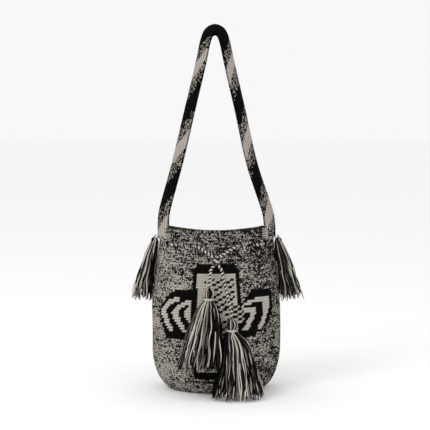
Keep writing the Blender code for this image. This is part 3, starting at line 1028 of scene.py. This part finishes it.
# Yarn looped over the top of the head and caught at the neck.
def headYarns(kind, headAt, rng):
    t = tassels[kind]
    strands = []
    radius, neck = t["head"] - t["yarn"], t["neck"] - 0.0012
    for n in range(t["loops"]):
        turn = 2 * math.pi * (n + rng.uniform(-0.2, 0.2)) / t["loops"]
        line = []
        for degrees in (8, 25, 45, 65, 85, 105, 122, 138, 150):
            angle = math.radians(degrees)
            out = radius * math.sin(angle)
            if degrees > 122:
                out = max(out, neck) if degrees == 138 else neck
            z = headAt[2] + radius * math.cos(angle) * 1.02
            skew = turn + 0.25 * math.sin(angle)
            line.append(Vector((headAt[0] + out * math.cos(skew),
                                headAt[1] + out * math.sin(skew), z)))
        line = smoothLine(line, 0.004)
        tone = rng.choice(tassels["headTones"])
        strands.append((line, [t["yarn"] * 1.05] * len(line), tone))
    # A solid core fills the head; its near-black tone is painted shade that shows between the loops.
    angles = [math.radians(degrees) for degrees in (10, 40, 70, 100, 130, 150)]
    core = [Vector((headAt[0], headAt[1], headAt[2] + radius * math.cos(a))) for a in angles]
    widths = [max(0.0012, (radius - 0.0004) * math.sin(a)) for a in angles]
    strands.append((core, widths, 0.15))
    return strands


def tieYarn(kind, headAt):
    t = tassels[kind]
    middle = headAt[2] - t["head"] * tassels["neckShare"] - tassels["neckLength"] / 2
    line = []
    for i in range(tassels["tieSteps"] + 1):
        f = i / tassels["tieSteps"]
        turn = 2 * math.pi * tassels["tieTurns"] * f
        out = t["neck"] + 0.0011 + 0.0002 * math.sin(turn * 2)
        line.append(Vector((headAt[0] + out * math.cos(turn), headAt[1] + out * math.sin(turn),
                            middle + 0.0014 - 0.0028 * f)))
    return [(line, [tassels["tieYarn"]] * len(line), tassels["tieTone"])]


def makeTassel(kind, node, body, headAt, skirt, seed, lightAt):
    rng = random.Random(seed)
    lowest = 0.0 if skirt[-1][0] < 0.02 else skirt[-1][0] - 0.02
    strands = headYarns(kind, headAt, rng)
    strands += skirtYarns(kind, headAt, skirt, rng, lightAt, lowest)
    tassel = addYarns(node + "Yarn", strands, 5, tasselYarn)
    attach(tassel, body)
    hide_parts(node)
    tie = addYarns(node + "Tie", tieYarn(kind, headAt), 7, sewingYarn)
    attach(tie, body)
    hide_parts(node + "_tie")


# The yarn that holds a side tassel to the strap's end stays with the bag.
def makeHanger(name, headAt):
    inward = -math.copysign(1.0, headAt[0])
    top = headAt[2] + tassels["side"]["head"]
    ends = [Vector((headAt[0] + inward * x, 0.0, top + z)) for x, z in tassels["hangerLine"]]
    line = smoothLine(ends, 0.0015)
    strand = (line, [tassels["hangerYarn"]] * len(line), tassels["hangerTone"])
    hanger = addYarns(name, [strand], 8, sewingYarn)
    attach(hanger, "bag")


def mirrored(skirt):
    return tuple((z, -x, y, halfX, halfY) for z, x, y, halfX, halfY in skirt)


rightAt = tassels["sideHeadAt"]
leftAt = (-rightAt[0], rightAt[1], rightAt[2])
makeTassel("front", "front_left_tassel", "front_left_swing", tassels["leftHeadAt"],
           tassels["leftSkirt"], seed=3, lightAt=math.radians(215))
makeTassel("front", "front_right_tassel", "front_right_swing", tassels["rightHeadAt"],
           tassels["rightSkirt"], seed=4, lightAt=math.radians(-40))
makeTassel("side", "left_side_tassel", "left_side_swing", leftAt,
           mirrored(tassels["sideSkirt"]), seed=9, lightAt=math.radians(200))
makeTassel("side", "right_side_tassel", "right_side_swing", rightAt,
           tassels["sideSkirt"], seed=6, lightAt=math.radians(60))
makeHanger("leftHanger", leftAt)
makeHanger("rightHanger", rightAt)
print("tassels made")

# White paper, a lamp at the front left and a weaker one at the right.
studio = {
    "floorTone": (0.97, 0.97, 0.97),
    "floorRoughness": 0.9,
    "reach": 30.0,
    "worldTone": (1.0, 1.0, 1.0),
    "worldStrength": 0.94,
    "keyPower": 26.0,
    "keySize": 1.2,
    "keyAt": (-1.7, -1.9, 2.3),
    "fillPower": 5.0,
    "fillSize": 2.0,
    "fillAt": (2.0, -1.4, 1.2),
    "lampAim": (0.0, 0.0, 0.25),
}


def makeFloor():
    reach = studio["reach"]
    corners = [(-reach, -reach, 0.0), (reach, -reach, 0.0),
               (reach, reach, 0.0), (-reach, reach, 0.0)]
    mesh = bpy.data.meshes.new("paperFloor")
    mesh.from_pydata(corners, [], [(0, 1, 2, 3)])
    paper = bpy.data.materials.new("palePaper")
    paper.use_nodes = True
    shader = paper.node_tree.nodes["Principled BSDF"]
    shader.inputs["Base Color"].default_value = (*studio["floorTone"], 1.0)
    shader.inputs["Roughness"].default_value = studio["floorRoughness"]
    mesh.materials.append(paper)
    floor = bpy.data.objects.new("paperFloor", mesh)
    bpy.context.collection.objects.link(floor)


def addLamp(name, power, size, at):
    lampData = bpy.data.lights.new(name, "AREA")
    lampData.energy = power
    lampData.size = size
    lamp = bpy.data.objects.new(name, lampData)
    lamp.location = at
    aim = Vector(studio["lampAim"]) - Vector(at)
    lamp.rotation_euler = aim.to_track_quat("-Z", "Y").to_euler()
    bpy.context.collection.objects.link(lamp)


def lightStudio():
    world = bpy.data.worlds.new("studioAir")
    world.use_nodes = True
    sky = world.node_tree.nodes["Background"]
    sky.inputs["Color"].default_value = (*studio["worldTone"], 1.0)
    sky.inputs["Strength"].default_value = studio["worldStrength"]
    bpy.context.scene.world = world
    addLamp("keyLamp", studio["keyPower"], studio["keySize"], studio["keyAt"])
    addLamp("fillLamp", studio["fillPower"], studio["fillSize"], studio["fillAt"])
    bpy.context.scene.view_settings.view_transform = "Standard"


makeFloor()
lightStudio()
print("studio lit")
